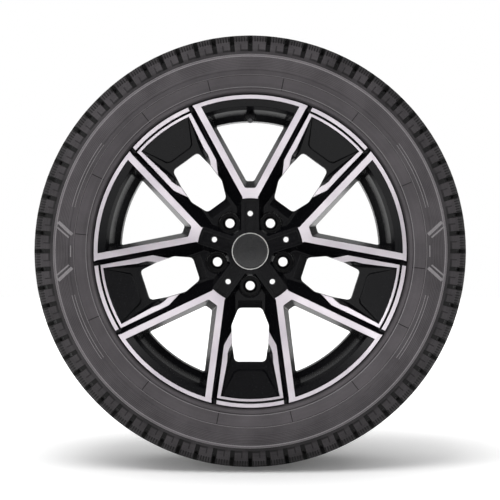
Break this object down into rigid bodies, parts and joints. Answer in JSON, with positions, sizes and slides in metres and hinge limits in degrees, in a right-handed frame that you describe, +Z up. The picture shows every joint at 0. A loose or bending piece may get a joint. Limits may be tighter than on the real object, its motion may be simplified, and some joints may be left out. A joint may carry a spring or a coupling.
{
  "type": "wheel and tyre assembly",
  "caption": "Road wheel of V-shaped twin spokes in machined light alloy over black paint, with a low-profile tyre, snap-in valve and snap-in centre cap.",
  "frame": {"origin": "the middle of the rim, on the axle", "axes": "+Y along the axle from the outer face towards the car, +Z up through the valve, +X to the right as the face is seen"},
  "size_m": [0.702, 0.256, 0.7011],
  "materials": {
    "wheel_paint": "black paint, turned bright on the face",
    "tyre_rubber": "matt",
    "cap_black": "gloss black",
    "cap_plate": "gloss",
    "spring_wire": "bright wire",
    "valve_rubber": "matt",
    "valve_brass": "bright",
    "valve_cap_plastic": "satin black",
    "weight_metal": "grey coated zinc",
    "tape_foam": "foam"
  },
  "bodies": {
    "wheel": {"wheel_casting": "wheel_paint", "tyre": "tyre_rubber", "centre_cap": "cap_black", "cap_face_plate": "cap_plate", "cap_spring_ring": "spring_wire", "valve_stem": "valve_rubber", "valve_insert": "valve_brass", "valve_core": "valve_brass", "valve_core_spring": "spring_wire", "balance_weights": "weight_metal", "weight_tape": "tape_foam"},
    "core_pin": {"valve_core_pin": "valve_brass", "valve_core_seal": "valve_rubber"},
    "cap_travel": {"valve_cap_seal": "valve_rubber"},
    "cap": {"valve_cap": "valve_cap_plastic"}
  },
  "joints": [
    {"name": "valve_core_press", "type": "slide", "parent": "wheel", "child": "core_pin", "axis": [0, 0.9397, 0.342], "range_m": [0, 0.0012], "stiffness_N_per_m": 1500, "deforming": ["valve_core_spring"]},
    {"name": "valve_cap_lift", "type": "slide", "parent": "wheel", "child": "cap_travel", "axis": [0, -0.9397, -0.342], "range_m": [0, 0.00794]},
    {"name": "valve_cap_turn", "type": "hinge", "parent": "cap_travel", "child": "cap", "pos_m": [0, -0.08529, 0.21116], "axis": [0, -0.9397, -0.342], "range_deg": [0, 3600]}
  ],
  "couplings": [
    {"joint": "valve_cap_turn", "follows": "valve_cap_lift", "rad_per_m": 7913.3}
  ]
}
